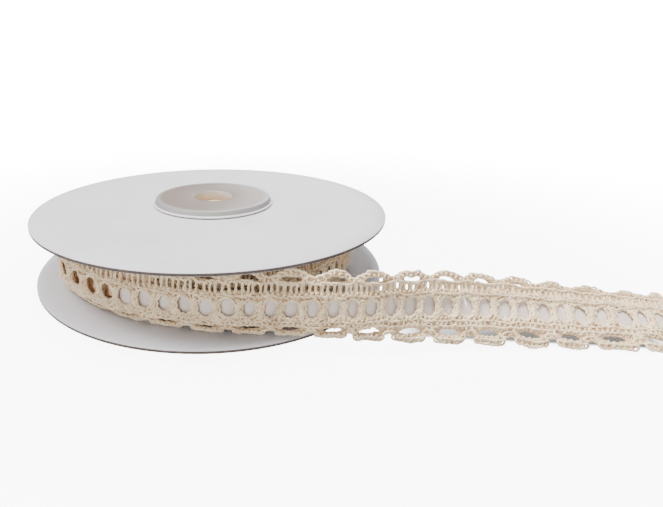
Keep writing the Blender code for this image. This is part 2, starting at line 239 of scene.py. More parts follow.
class LacePath:
    """The way of the lace: round the roll's outer turn, then off along the loose end."""

    def __init__(self, axis: Vector, bottom: float) -> None:
        """Sample the path.

        Args:
            axis: The reel's axis where it meets the table.
            bottom: The height of the winding's lower edge.
        """
        self.bottom = bottom
        points, leans, places = self._roll_samples()
        tail_points, tail_leans = self._tail_samples()
        steps = np.linalg.norm(np.diff(tail_points, axis=0), axis=1)
        tail_places = np.concatenate([[0.0], np.cumsum(steps)])
        self.places = np.concatenate([places, tail_places[1:]])
        self.points = np.concatenate([points, tail_points[1:]]) + np.array([axis.x, axis.y, 0.0])
        self.leans = np.concatenate([leans, tail_leans[1:]])
        self.length = float(tail_places[-1])
        along = np.gradient(self.points, self.places, axis=0)
        along /= np.linalg.norm(along, axis=1, keepdims=True)
        side = np.cross((0.0, 0.0, 1.0), along)
        side /= np.linalg.norm(side, axis=1, keepdims=True)
        upright = np.cross(along, side)
        lean = self.leans[:, None]
        self.along = along
        self.across = upright * np.cos(lean) + side * np.sin(lean)
        self.front = np.cross(along, self.across)

    def _roll_samples(self) -> tuple[np.ndarray, np.ndarray, np.ndarray]:
        """Sample the outer turn, from its inner end to where the loose end leaves.

        Returns:
            The points from the reel's axis, the leans and the distances along the lace.
        """
        counts = np.arange((WINDOWS_ROUND_ROLL + 1) * ROLL_STEPS, -1, -1) / ROLL_STEPS
        points = []
        for count in counts:
            turned = 360 * count / WINDOWS_ROUND_ROLL
            angle = LEAVING_ANGLE - math.radians(turned)
            radius = roll_radius(turned) - LACE_THICKNESS / 2
            points.append((radius * math.cos(angle), radius * math.sin(angle), self.bottom))
        return np.array(points), np.zeros(len(points)), -counts * WINDOW_PITCH

    def _tail_samples(self) -> tuple[np.ndarray, np.ndarray]:
        """Sample the loose end from its table.

        Returns:
            The points from the reel's axis, and the leans.
        """
        middle = roll_radius(0) - LACE_THICKNESS / 2
        leaving = Vector((math.cos(LEAVING_ANGLE), math.sin(LEAVING_ANGLE))) * middle
        heading = Vector((-math.sin(LEAVING_ANGLE), math.cos(LEAVING_ANGLE)))
        before = leaving - heading * RUN_IN
        rows = [(*before, self.bottom, 0.0), (*leaving, self.bottom, 0.0)]
        for x, y, height, lean in TAIL_ROUTE:
            corner = LACE_THICKNESS / 2 * math.sin(math.radians(lean))
            rows.append((x * MM, y * MM, height * MM + corner, math.radians(lean)))
        rows.append(tuple(2 * a - b for a, b in zip(rows[-1], rows[-2])))
        samples = []
        for index in range(1, len(rows) - 2):
            four = rows[index - 1 : index + 3]
            for step in range(ROUTE_STEPS):
                samples.append([smooth_between(*column, step / ROUTE_STEPS) for column in zip(*four)])
        samples.append(list(rows[-2]))
        table = np.array(samples)
        return table[:, :3], table[:, 3]

    def tail_end(self) -> float:
        """Give the loose end's length, in whole repeats."""
        return int(self.length / SCALLOP_PITCH) * SCALLOP_PITCH

    @staticmethod
    def _past_ends(s: np.ndarray) -> np.ndarray:
        """Tell how far each distance lies past the ends of the pull's table."""
        first, last = PULL[0][0] * WINDOW_PITCH, PULL[-1][0] * WINDOW_PITCH
        return np.minimum(s - first, 0.0) + np.maximum(s - last, 0.0)

    def _read(self, values: np.ndarray, s: np.ndarray) -> np.ndarray:
        """Read three columns of samples at these distances."""
        return np.stack([np.interp(s, self.places, values[:, i]) for i in range(3)], axis=1)

    def place(self, s: np.ndarray, v: np.ndarray, w: np.ndarray) -> np.ndarray:
        """Lay flat points on the path.

        Args:
            s: Distances along the lace.
            v: Distances across it from its middle.
            w: Distances out of its front.

        Returns:
            The points in the row frame.
        """
        slip = at_count(SLIP, s) * MM * np.cos(math.pi * np.clip(v / LACE_WIDTH, -0.5, 0.5))
        v = v - slip
        w = w + np.minimum(slip * BULGE_TO_SLIP, MOST_BULGE)
        s = at_count(PULL, s) * WINDOW_PITCH + self._past_ends(s)
        overrun = np.maximum(s - self.places[-1], 0.0)[:, None]
        across, front = self._read(self.across, s), self._read(self.front, s)
        across /= np.linalg.norm(across, axis=1, keepdims=True)
        front /= np.linalg.norm(front, axis=1, keepdims=True)
        point = self._read(self.points, s) + overrun * self._read(self.along, s)
        return point + across * (v + LACE_WIDTH / 2)[:, None] + front * w[:, None]


@dataclass(frozen=True)
class Unevenness:
    """Slow shifts of the work along the lace, so that no two repeats are quite alike."""

    seed: int = 11
    waves: int = 9
    along: float = 0.11 * MM
    across: float = 0.10 * MM
    out: float = 0.07 * MM
    lengths: Chance = (2.2, 11.0)
    tilt: float = 0.8
    gain: float = 1.4

    def shift(self, s: np.ndarray, v: np.ndarray, w: np.ndarray) -> tuple[np.ndarray, ...]:
        """Shift flat points.

        Args:
            s: Distances along the lace.
            v: Distances across it.
            w: Distances out of its front.

        Returns:
            The shifted s, v and w.
        """
        chance = np.random.default_rng(self.seed)
        moved = []
        for values, amount in ((s, self.along), (v, self.across), (w, self.out)):
            total = np.zeros_like(s)
            for _ in range(self.waves):
                length = chance.uniform(*self.lengths) * MM
                tilt = chance.uniform(-self.tilt, self.tilt)
                start = chance.uniform(0, TURN)
                total += np.sin(TURN * (s + tilt * v) / length + start)
            moved.append(values + amount * total / math.sqrt(self.waves) * self.gain)
        return tuple(moved)


class NodeWork:
    """A node tree being put together."""

    def __init__(self, tree: bpy.types.NodeTree) -> None:
        """Start on a tree."""
        self.nodes = tree.nodes
        self.links = tree.links

    def feed(self, node: Node, inputs: Fed) -> None:
        """Link sockets into a node's inputs, or set plain values there.

        Args:
            node: The node.
            inputs: What goes in, by the input's name or number.
        """
        for label, value in inputs.items():
            if isinstance(value, Socket):
                self.links.new(value, node.inputs[label])
            else:
                node.inputs[label].default_value = value

    def node(self, kind: str, inputs: Fed, **settings: object) -> Node:
        """Add a node.

        Args:
            kind: Its type, without the word ShaderNode.
            inputs: What goes in, by the input's name or number.
            settings: The node's own settings.

        Returns:
            The new node.
        """
        made = self.nodes.new("ShaderNode" + kind)
        for label, value in settings.items():
            setattr(made, label, value)
        self.feed(made, inputs)
        return made


def uneven_patches() -> bpy.types.NodeTree:
    """Make the shared group for soft uneven patches: two noises of unlike size, from 0 to 1.

    Returns:
        The node group, which is built once.
    """
    name, detail, times_finer = "uneven_patches", 3.0, 6.0
    known = bpy.data.node_groups.get(name)
    if known:
        return known
    tree = bpy.data.node_groups.new(name, "ShaderNodeTree")
    for label, way in (("Scale", "INPUT"), ("Fine", "INPUT"), ("Patch", "OUTPUT")):
        tree.interface.new_socket(label, in_out=way, socket_type="NodeSocketFloat")
    inside, outside = tree.nodes.new("NodeGroupInput"), tree.nodes.new("NodeGroupOutput")
    work = NodeWork(tree)
    where = work.node("TexCoord", {}).outputs["Object"]
    scale = inside.outputs["Scale"]
    finer = work.node("Math", {0: scale, 1: times_finer}, operation="MULTIPLY").outputs[0]
    coarse, fine = (
        work.node("TexNoise", {"Vector": where, "Scale": size, "Detail": detail}).outputs["Fac"]
        for size in (scale, finer)
    )
    mix = work.node("Mix", {0: inside.outputs["Fine"], 2: coarse, 3: fine})
    work.feed(outside, {"Patch": mix.outputs[0]})
    return tree


class Surface(NodeWork):
    """A material being put together, with its shader."""

    def __init__(self, name: str) -> None:
        """Start a material.

        Args:
            name: What the material is called.
        """
        self.material = bpy.data.materials.new(name)
        self.material.use_nodes = True
        super().__init__(self.material.node_tree)
        self.shader = self.nodes["Principled BSDF"]

    def dress(self, **inputs: object) -> None:
        """Feed the shader's own sockets, with underscores for the spaces in their names."""
        self.feed(self.shader, {label.replace("_", " "): value for label, value in inputs.items()})

    def patches(self, scale: float, fine: float) -> Socket:
        """Add uneven patches: so many a metre, with this share of fine noise."""
        inputs = {"Scale": scale, "Fine": fine}
        return self.node("Group", inputs, node_tree=uneven_patches()).outputs["Patch"]

    def ramp(self, source: Socket, stops: list[tuple[float, Colour]]) -> Socket:
        """Turn a value into a colour.

        Args:
            source: The value's socket.
            stops: Places from 0 to 1 and their colours.

        Returns:
            The colour's socket.
        """
        node = self.node("ValToRGB", {"Fac": source})
        elements = node.color_ramp.elements
        while len(elements) < len(stops):
            elements.new(0.5)
        for element, (place, colour) in zip(elements, stops):
            element.position = place
            element.color = (*colour, 1.0)
        return node.outputs["Color"]

    def clouded(self, scale: float, fine: float, reach: Span, colours: tuple[Colour, Colour]) -> None:
        """Colour the surface in soft patches, from one colour to the other over this reach."""
        self.dress(Base_Color=self.ramp(self.patches(scale, fine), list(zip(reach, colours))))

    def eased(self, source: Socket, reach: Span, values: Span) -> Socket:
        """Ease a value from one number to another.

        Args:
            source: The socket that it goes by.
            reach: Where the easing starts and ends.
            values: The numbers there.

        Returns:
            The eased value's socket.
        """
        numbers = dict(zip(("From Min", "From Max", "To Min", "To Max"), (*reach, *values)))
        node = self.node("MapRange", {"Value": source, **numbers}, interpolation_type="SMOOTHSTEP")
        return node.outputs["Result"]

    def blended(self, operation: str, first: Socket, second: Socket | float) -> Socket:
        """Join two values by a Math node."""
        return self.node("Math", {0: first, 1: second}, operation=operation).outputs[0]

    def bump(self, height: Socket, strength: float, distance: float) -> None:
        """Raise the surface by a value, with the height of its full step in metres."""
        inputs = {"Height": height, "Strength": strength, "Distance": distance}
        self.dress(Normal=self.node("Bump", inputs).outputs["Normal"])


@dataclass(frozen=True)
class CottonFinish:
    """Matt cotton yarn: soft patches of lighter and darker thread over fine fibre bumps."""

    name: str
    light: Colour
    dark: Colour
    patch_scale: float = 420.0
    roughness: float = 0.92
    patch_fine: float = 0.35
    patch_reach: Span = (0.34, 0.62)
    fibre_scale: float = 1900.0
    fibre_fine: float = 0.5
    fibre_bump: float = 0.35
    fibre_height: float = 0.09 * MM
    sheen: float = 0.25
    sheen_roughness: float = 0.6

    def material(self) -> Material:
        """Make the material.

        Returns:
            The new material.
        """
        look = Surface(self.name)
        look.clouded(self.patch_scale, self.patch_fine, self.patch_reach, (self.dark, self.light))
        look.dress(Roughness=self.roughness, Sheen_Weight=self.sheen, Sheen_Roughness=self.sheen_roughness)
        look.bump(look.patches(self.fibre_scale, self.fibre_fine), self.fibre_bump, self.fibre_height)
        return look.material


@dataclass(frozen=True)
class CardFinish(CottonFinish):
    """Card, pressed from fibres too: fainter clouding, a lower and coarser bump, and no sheen."""

    patch_reach: Span = (0.3, 0.7)
    fibre_scale: float = 1400.0
    fibre_bump: float = 0.12
    fibre_height: float = 0.05 * MM
    sheen: float = 0.0


@dataclass(frozen=True)
class SatinFinish:
    """White satin: glossy floats along the ribbon, with fine ribs across it."""

    name: str = "white_satin"
    light: Colour = (0.76, 0.66, 0.60)
    dark: Colour = (0.66, 0.56, 0.50)
    patch_scale: float = 260.0
    patch_fine: float = 0.3
    patch_reach: Span = (0.3, 0.66)
    roughness: float = 0.28
    sheen: float = 0.15
    coat: float = 0.60
    coat_roughness: float = 0.12
    rib_scale: float = 900.0
    rib_waver: float = 1.2
    rib_bump: float = 0.18
    rib_height: float = 0.05 * MM

    def material(self) -> Material:
        """Make the material.

        Returns:
            The new material.
        """
        look = Surface(self.name)
        look.clouded(self.patch_scale, self.patch_fine, self.patch_reach, (self.dark, self.light))
        look.dress(Roughness=self.roughness, Sheen_Weight=self.sheen)
        look.dress(Coat_Weight=self.coat, Coat_Roughness=self.coat_roughness)
        where = look.node("UVMap", {}, uv_map="lace").outputs["UV"]
        inputs = {"Vector": where, "Scale": self.rib_scale, "Distortion": self.rib_waver}
        ribs = look.node("TexWave", inputs, bands_direction="X")
        look.bump(ribs.outputs["Fac"], self.rib_bump, self.rib_height)
        return look.material


@dataclass(frozen=True)
class HubFinish:
    """Milky moulded plastic: beige on its face and lighter grey towards its rim, with painted light as a
    pale ring round the bore's mouth and a painted highlight as a pale line at its lip.
    """

    name: str = "milky_plastic"
    beige: Colour = (0.190, 0.155, 0.132)
    grey: Colour = (0.27, 0.26, 0.25)
    # Painted light: a pale ring round the bore's mouth, for its lit far wall.
    mouth: Colour = (0.70, 0.68, 0.65)
    # Painted highlight: a pale line along the flange's lip.
    lip: Colour = (0.72, 0.72, 0.71)
    green_cast: Colour = (0.93, 1.0, 0.94)
    pink_cast: Colour = (1.0, 0.92, 0.99)
    beige_inset: float = 1.0 * MM
    lip_highlight_inset: float = 0.38 * MM
    lit_mouth_share: float = 0.36
    ramp_room: float = 1.1
    soft: float = 0.02
    crisp: float = 0.004
    roughness: float = 0.44
    coat: float = 0.08
    coat_roughness: float = 0.25
    depth_share: float = 0.15
    depth: float = 1.5 * MM
    cast_scale: float = 110.0
    cast_fine: float = 0.25
    cast_reach: Span = (0.36, 0.64)
    bump_scale: float = 500.0
    bump_fine: float = 0.3
    bump_strength: float = 0.08
    bump_height: float = 0.08 * MM

    def _rings(self, look: Surface, axis: Vector, face: float, rim: float) -> Socket:
        """Colour the hub in rings round the reel's axis.

        Args:
            look: The material that is being put together.
            axis: The reel's axis.
            face: The radius of the flange's flat face.
            rim: The flange's full radius.

        Returns:
            The colour's socket.
        """
        where = look.node("TexCoord", {}).outputs["Object"]
        inputs = {"Vector": where, "Location": (-axis.x, -axis.y, 0.0), "Scale": (1.0, 1.0, 0.0)}
        centred = look.node("Mapping", inputs).outputs[0]
        length = look.node("VectorMath", {0: centred}, operation="LENGTH").outputs["Value"]
        full = rim * self.ramp_room
        radii = (face * self.lit_mouth_share, face - self.beige_inset, rim - self.lip_highlight_inset)
        mouth, edge, step = (radius / full for radius in radii)
        # Painted light: the mouth ring is pale for the bore's lit far wall, and the lip ring is a painted
        # highlight along the rim's lower edge.
        stops = [
            (mouth - self.soft, self.mouth),
            (mouth, self.beige),
            (edge - self.soft, self.beige),
            (edge + self.soft, self.grey),
            (step - self.crisp, self.grey),
            (step + self.crisp, self.lip),
        ]
        return look.ramp(look.blended("DIVIDE", length, full), stops)

    def material(self, axis: Vector, face: float, rim: float) -> Material:
        """Make the material.

        Args:
            axis: The reel's axis.
            face: The radius of the flange's flat face.
            rim: The flange's full radius.

        Returns:
            The new material.
        """
        look = Surface(self.name)
        casts = list(zip(self.cast_reach, (self.green_cast, self.pink_cast)))
        cast = look.ramp(look.patches(self.cast_scale, self.cast_fine), casts)
        inputs = {"Factor": 1.0, 6: self._rings(look, axis, face, rim), 7: cast}
        tinted = look.node("Mix", inputs, data_type="RGBA", blend_type="MULTIPLY")
        look.dress(Base_Color=tinted.outputs[2])
        look.dress(Roughness=self.roughness, Coat_Weight=self.coat, Coat_Roughness=self.coat_roughness)
        look.dress(Subsurface_Weight=self.depth_share, Subsurface_Scale=self.depth)
        look.bump(look.patches(self.bump_scale, self.bump_fine), self.bump_strength, self.bump_height)
        return look.material


def in_scene(name: str, data: bpy.types.ID) -> Piece:
    """Put an object of this name and data in the scene.

    Args:
        name: The object's name.
        data: Its mesh, curve, camera or light.

    Returns:
        The new object.
    """
    made = bpy.data.objects.new(name, data)
    bpy.context.scene.collection.objects.link(made)
    return made


def finished(mesh: Mesh, name: str, materials: list[Material]) -> Piece:
    """Put a mesh in the scene as a piece on the reel.

    Args:
        mesh: The piece's mesh, in the row frame.
        name: The piece's name.
        materials: Its materials in slot order.

    Returns:
        The piece's object.
    """
    mesh.name = name
    for material in materials:
        mesh.materials.append(material)
    piece = in_scene(name, mesh)
    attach(piece, BODY)
    return piece


def mesh_of(shape: Shape, name: str) -> Mesh:
    """Turn a shape into a mesh, and free the shape.

    Args:
        shape: The shape.
        name: The mesh's name.

    Returns:
        The new mesh.
    """
    mesh = bpy.data.meshes.new(name)
    shape.to_mesh(mesh)
    shape.free()
    return mesh


def flat_strip(reach: Span, width: float, columns: int, rows: int) -> Shape:
    """Make a flat strip of cells.

    Args:
        reach: Where it starts and ends along the lace.
        width: Its width.
        columns: How many cells lie along it.
        rows: How many lie across it.

    Returns:
        The strip's shape.
    """
    start, end = reach
    shape = bmesh.new()
    bmesh.ops.create_grid(shape, x_segments=columns, y_segments=rows, size=0.5)
    bmesh.ops.scale(shape, vec=(end - start, width, 1), verts=shape.verts)
    bmesh.ops.translate(shape, vec=((start + end) / 2, 0, 0), verts=shape.verts)
    return shape


def corners_of(shape: Shape) -> np.ndarray:
    """Give a shape's corners as columns of x, y and z."""
    return np.array([vertex.co for vertex in shape.verts]).T


def place_corners(shape: Shape, points: np.ndarray) -> None:
    """Move a shape's corners.

    Args:
        shape: The shape that is changed.
        points: Where its corners go, one row each.
    """
    for vertex, point in zip(shape.verts, points):
        vertex.co = point
    shape.normal_update()


def finished_sheet(shape: Shape, name: str, material: Material, thickness: float) -> Piece:
    """Put a shape in the scene as a smooth sheet.

    Args:
        shape: The sheet's middle, in the row frame.
        name: The piece's name.
        material: Its material.
        thickness: Its thickness, half of it to each side.

    Returns:
        The piece's object.
    """
    mesh = mesh_of(shape, name)
    mesh.shade_smooth()
    piece = finished(mesh, name, [material])
    thick = piece.modifiers.new("thickness", "SOLIDIFY")
    thick.thickness = thickness
    thick.offset = 0.0
    return piece


def spun(profile: list[Span], axis: Vector, steps: int) -> Mesh:
    """Turn a closed profile round the reel's axis.

    Args:
        profile: Radii and heights, in order round the section.
        axis: The reel's axis.
        steps: How many faces go round.

    Returns:
        A closed mesh.
    """
    shape = bmesh.new()
    points = [shape.verts.new((radius, 0.0, height)) for radius, height in profile]
    edges = [shape.edges.new(pair) for pair in zip(points, points[1:] + points[:1])]
    bmesh.ops.spin(
        shape,
        geom=[*points, *edges],
        cent=(0, 0, 0),
        axis=(0, 0, 1),
        angle=TURN,
        steps=steps,
        use_merge=True,
        use_duplicate=False,
    )
    bmesh.ops.remove_doubles(shape, verts=shape.verts, dist=MERGE)
    bmesh.ops.recalc_face_normals(shape, faces=shape.faces)
    bmesh.ops.translate(shape, verts=shape.verts, vec=(axis.x, axis.y, 0.0))
    return mesh_of(shape, "spun")


def from_axis(point: Vector, axis: Vector) -> float:
    """Tell how far a point is from the reel's axis."""
    return math.hypot(point.x - axis.x, point.y - axis.y)


def radii_of(node: str, axis: Vector) -> list[float]:
    """List how far the corners of a node are from the reel's axis."""
    return [from_axis(corner.co, axis) for corner in bpy.data.objects[node].data.vertices]


def shade(mesh: Mesh, sharp_degrees: float) -> None:
    """Shade a mesh smooth, with its edges past this angle kept sharp."""
    mesh.shade_smooth()
    mesh.set_sharp_from_angle(angle=math.radians(sharp_degrees))


@dataclass
class CardDisc:
    """One card disc, a little uneven, with its cut edge bare."""

    node: str
    axis: Vector
    faces: Material
    cut_edge: Material
    steps: int = 144
    rings: int = 10
    edge_round: float = 0.10 * MM
    lift: float = 0.10 * MM
    ripple: float = 0.5
    cut_share: float = 0.6
    sharp_degrees: float = 50
    seed: float = 0.0

    def build(self) -> Piece:
        """Build the disc over its node.

        Returns:
            The piece.
        """
        low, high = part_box(self.node)
        radius = (high.x - low.x) / 2
        hole = min(radii_of(self.node, self.axis))
        top, bottom = high.z, low.z
        outer = radius - self.edge_round
        radii = [hole + (outer - hole) * ring / self.rings for ring in range(self.rings + 1)]
        profile = [(r, top) for r in radii]
        profile += [(radius, top - self.edge_round), (radius, bottom + self.edge_round)]
        profile += [(r, bottom) for r in reversed(radii)]
        mesh = spun(profile, self.axis, self.steps)
        self._settle(mesh, radius)
        shade(mesh, self.sharp_degrees)
        piece = finished(mesh, self.node + "_card", [self.faces, self.cut_edge])
        for face in mesh.polygons:
            is_cut = from_axis(face.center, self.axis) > radius - self.cut_share * self.edge_round
            face.material_index = int(is_cut)
        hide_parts(self.node)
        return piece

    def _settle(self, mesh: Mesh, radius: float) -> None:
        """Bend the card out of true by a hair, more towards its rim.

        Args:
            mesh: The disc's mesh.
            radius: The disc's radius.
        """
        for vertex in mesh.vertices:
            x, y = vertex.co.x - self.axis.x, vertex.co.y - self.axis.y
            turn = math.atan2(y, x)
            out = (math.hypot(x, y) / radius) ** 2
            wave = math.sin(2 * turn + self.seed) + self.ripple * math.sin(3 * turn + 2.1 * self.seed)
            vertex.co.z += self.lift * out * wave / (1 + self.ripple)


@dataclass
class Hub:
    """The moulded hub: two bevelled flanges with a bored tube between them."""

    axis: Vector
    finish: Material
    bore_finish: Material
    steps: int = 96
    sharp_degrees: float = 40
    lip: float = 0.5 * MM
    lip_steps: int = 4
    ring_depth: float = 1.7 * MM
    ring_step: float = 0.12 * MM
    ring_slope: float = 0.2 * MM
    flange: float = 1.7 * MM
    tube: float = 10.0 * MM
    face_inset: float = HUB_FACE_INSET
    bore_margin: float = 0.05 * MM

    def _profile(self, bore: float, rim: float, height: float) -> list[Span]:
        """Draw the half's section, from the joint up the bore, over the flange and back down the tube.

        Args:
            bore: The bore's radius.
            rim: The flange's full radius.
            height: The half's height.

        Returns:
            Radii and heights above the joint.
        """
        face, under, mouth = rim - self.face_inset, height - self.flange, bore - self.ring_step
        profile = [(bore, 0.0), (bore, height - self.ring_depth - self.ring_slope)]
        profile += [(mouth, height - self.ring_depth), (mouth, height - self.lip)]
        profile += self._fillet(mouth, height)
        for start, top, drops in (
            (face, height, ((-0.40, 0.0), (0.0, -0.05), (0.16, -0.20))),
            (rim, under, ((-0.42, 0.52), (-0.34, 0.42), (-0.08, 0.36), (0.0, 0.24), (-0.05, 0.0))),
            (self.tube, under, ((0.30, 0.0), (0.0, -0.30))),
        ):
            profile += [(start + out * MM, top + up * MM) for out, up in drops]
        return [*profile, (self.tube, 0.0)]

    def build_half(self, node: str, is_upper: bool) -> Piece:
        """Build one half over its node.

        Args:
            node: The CAD node that it stands for.
            is_upper: Whether its flange is on top.

        Returns:
            The piece.
        """
        low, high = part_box(node)
        radii = sorted({round(radius, 5) for radius in radii_of(node, self.axis)})
        bore, rim = radii[0], radii[-1]
        joint, way = (low.z, 1) if is_upper else (high.z, -1)
        profile = self._profile(bore, rim, high.z - low.z)
        mesh = spun([(radius, joint + way * level) for radius, level in profile], self.axis, self.steps)
        shade(mesh, self.sharp_degrees)
        piece = finished(mesh, node + "_moulding", [self.finish, self.bore_finish])
        for part in mesh.polygons:
            is_bore = from_axis(part.center, self.axis) < bore + self.bore_margin
            is_deep = min(part.center.z - low.z, high.z - part.center.z) > self.ring_depth
            part.material_index = int(is_bore and is_deep)
        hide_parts(node)
        return piece

    def _fillet(self, bore: float, height: float) -> list[Span]:
        """Round the bore's mouth.

        Args:
            bore: The bore's radius.
            height: The height of the face.

        Returns:
            The fillet's points, from the bore to the face.
        """
        points = []
        for step in range(1, self.lip_steps + 1):
            turn = math.pi / 2 * step / self.lip_steps
            out, down = self.lip * (1 - math.cos(turn)), self.lip * (1 - math.sin(turn))
            points.append((bore + out, height - down))
        return points


class YarnWork:
    """Gathers runs of yarn in the lace's flat coordinates, and makes them one mesh of round yarn."""

    def __init__(self, path: LacePath, uneven: Unevenness, radius: float) -> None:
        """Start with no yarn.

        Args:
            path: Where the lace lies.
            uneven: How its work wanders.
            radius: The yarn's radius.
        """
        self.path = path
        self.uneven = uneven
        self.radius = radius
        self.runs: list[np.ndarray] = []

    def add(self, s: np.ndarray, v: np.ndarray, w: np.ndarray) -> None:
        """Add one run of yarn."""
        s, v, w = self.uneven.shift(s, v, w)
        self.runs.append(self.path.place(s, v, w))

    def mesh(self, name: str) -> Mesh:
        """Turn the runs into closed yarn.

        Args:
            name: The mesh's name.

        Returns:
            The mesh, in the row frame.
        """
        curve = bpy.data.curves.new(name, "CURVE")
        curve.dimensions = "3D"
        curve.bevel_depth = self.radius
        curve.bevel_resolution = 0
        curve.use_fill_caps = True
        for run in self.runs:
            spline = curve.splines.new("POLY")
            spline.points.add(len(run) - 1)
            spline.points.foreach_set("co", np.column_stack([run, np.ones(len(run))]).ravel())
        guide = in_scene(name, curve)
        graph = bpy.context.evaluated_depsgraph_get()
        mesh = bpy.data.meshes.new_from_object(guide.evaluated_get(graph))
        bpy.data.objects.remove(guide)
        shape = bmesh.new()
        shape.from_mesh(mesh)
        bmesh.ops.remove_doubles(shape, verts=shape.verts, dist=MERGE / 2)
        shape.to_mesh(mesh)
        shape.free()
        mesh.shade_smooth()
        return mesh


@dataclass(frozen=True)
class LoopRow:
    """One row of overlapping loops along the lace.

    The line gives the row's middle across the lace at each distance along it.
    """

    line: Line
    half_height: float
    reach: float
    lift: float
    level: float
    backwards: bool = False


@dataclass
class CrochetLace:
    """A length of the lace: its backing of close stitches, coloured darker than the yarn as painted shade
    between it, and the yarn worked over it.

    A field of the Chance type is the range that a chance is drawn from. Sizes in pairs, threes and rows
    are in millimetres. A loop's three are its half height, its lift and its level. A ring's two are how
    far it lies outside its eyelet and its level. The holders are the strands that hold the ribbon.
    """

    path: LacePath
    uneven: Unevenness
    start: float
    end: float
    cotton: Material
    shaded_backing: Material
    seed: int
    yarn_radius: float = 0.25 * MM
    upper_rows: tuple[float, ...] = (0.34, 0.84)
    straight_rows: tuple[float, ...] = (5.14, 3.16, 2.66, -2.55, -3.13, -3.71, -4.30)
    lower_rows: tuple[float, ...] = (1.50, 0.95, 0.40)
    rim_inset: float = 0.5
    rim_loops: Sizes = (0.20, 0.18, 0.08)
    inner_loops: Sizes = (0.31, 0.32, 0.24)
    loops_per_repeat: int = 8
    points_per_loop: int = 8
    loop_reach: float = 0.44 * MM
    loop_tall: Chance = (0.55, 1.35)
    loop_wide: Chance = (0.60, 1.35)
    loop_late: Chance = (-1.2, 1.2)
    loop_lag: float = 0.9
    row_drift: float = 0.10 * MM
    row_rise: float = 0.08 * MM
    row_lap: float = 0.3 * MM
    ring_sizes: tuple[Span, ...] = ((0.30, 0.06), (0.66, 0.24))
    ring_wide: Chance = (-0.14, 0.12)
    ring_tall: Chance = (-0.15, 0.05)
    ring_tilt: Chance = (-0.10, 0.10)
    ring_points: int = 34
    ring_waves: int = 9
    ring_ripple: float = 0.15 * MM
    ring_lift: float = 0.12
    bar_reach: float = 1.05
    bar_points: int = 23
    bar_turns: Chance = (2.2, 2.9)
    bar_lean: Chance = (-0.18, 0.18)
    bar_late: Chance = (-0.4, 0.4)
    bar_side: Chance = (-0.5, 0.5)
    bar_spread: Span = (0.20, 0.40)
    bar_level: float = 0.30 * MM
    bar_depth: float = 0.20 * MM
    holder_reach: float = 1.5
    holder_level: float = 0.05 * MM
    holder_depth: float = 1.15 * MM
    holder_slope: Span = (1.35, 1.25)
    post_gap: float = 0.36 * MM
    post_spread: float = 0.05 * MM
    post_points: int = 7
    post_lap: float = 0.1 * MM
    post_shift: Chance = (-0.10, 0.10)
    post_bow: float = 0.12 * MM
    post_level: float = 0.14 * MM
    post_depth: float = 0.10 * MM
    strays_per_repeat: int = 26
    stray_points: int = 6
    stray_edge: float = 0.8 * MM
    stray_reach: Chance = (0.35, 0.65)
    stray_bow: Chance = (-0.25, 0.25)
    stray_rise: Chance = (-0.08, 0.06)
    stray_arch: Span = (0.46, 0.34)
    stray_tests: tuple[float, ...] = (-1.4, -0.7, 0, 0.7, 1.4)
    window_margin: float = 0.8 * MM
    bar_margin: float = 0.6 * MM
    post_margin: float = 0.2 * MM
    lower_rim: float = 0.25 * MM
    upper_rim: float = 0.2 * MM
    cell: float = 0.33 * MM
    stitch: Span = (0.62 * MM, 0.66 * MM)
    stitch_shift: float = 1.0
    stitch_height: float = 0.05 * MM
    backing_level: float = 0.10 * MM
    backing_thickness: float = 0.25 * MM
    end_margin: float = 0.01 * MM
    smoothings: int = 2

    def __post_init__(self) -> None:
        """Start with no yarn, and seed the chances."""
        self.chance = np.random.default_rng(self.seed)
        self.work = YarnWork(self.path, self.uneven, self.yarn_radius)

    def _line(self, level: float) -> Line:
        """A straight row's middle."""
        return lambda s: np.full_like(s, level)

    def _above(self, inset: float) -> Line:
        """A row that follows the lower scallops."""
        return lambda s: lower_edge(s) + inset

    def _below(self, inset: float) -> Line:
        """A row that follows the upper scallops."""
        return lambda s: upper_edge(s) - inset

    def rows(self) -> list[LoopRow]:
        """List the lace's rows of loops from its upper edge to its lower one.

        Returns:
            The rows.
        """
        levels = [(self._below(inset * MM), inset > self.rim_inset) for inset in self.upper_rows]
        levels += [(self._line(level * MM), True) for level in self.straight_rows]
        levels += [(self._above(inset * MM), inset > self.rim_inset) for inset in self.lower_rows]
        rows = []
        for number, (line, is_inside) in enumerate(levels):
            sizes = self.inner_loops if is_inside else self.rim_loops
            half_height, lift, level = (size * MM for size in sizes)
            rows.append(LoopRow(line, half_height, self.loop_reach, lift, level, bool(number % 2)))
        return rows

    def _add_row(self, row: LoopRow) -> None:
        """Work one row of loops, each a little unlike the last.

        Args:
            row: The row.
        """
        repeats = (self.end - self.start) / SCALLOP_PITCH
        loops = round(repeats * self.loops_per_repeat)
        turns = np.arange(loops * self.points_per_loop + 1) / self.points_per_loop
        knots = np.arange(loops + 2)
        tall, wide, late = (
            np.interp(turns, knots, self.chance.uniform(*span, loops + 2))
            for span in (self.loop_tall, self.loop_wide, self.loop_late)
        )
        drift, rise = (
            np.interp(turns, knots, self.chance.normal(0.0, amount, loops + 2))
            for amount in (self.row_drift, self.row_rise)
        )
        angle = TURN * turns + late + self.chance.uniform(0, TURN)
        way = -1 if row.backwards else 1
        middle = self.start + (self.end - self.start) * turns / loops
        s = middle + row.reach * wide * np.sin(angle) * way
        s = np.clip(s, self.start - self.row_lap, self.end)
        v = row.line(middle) + drift + row.half_height * tall * np.cos(angle)
        w = row.level + rise + row.lift * np.sin(angle + self.loop_lag)
        self.work.add(s, v, w)

    def _places(self, offset: float, pitch: float, margin: float) -> list[float]:
        """List the places of a feature that repeats along the lace.

        Args:
            offset: Where one of them is.
            pitch: How far apart they are.
            margin: How far they stay from the end. One that is right at the start counts.

        Returns:
            The places within the length.
        """
        first = math.ceil((self.start - offset) / pitch - 0.01)
        last = math.floor((self.end - margin - offset) / pitch)
        return [offset + pitch * number for number in range(first, last + 1)]

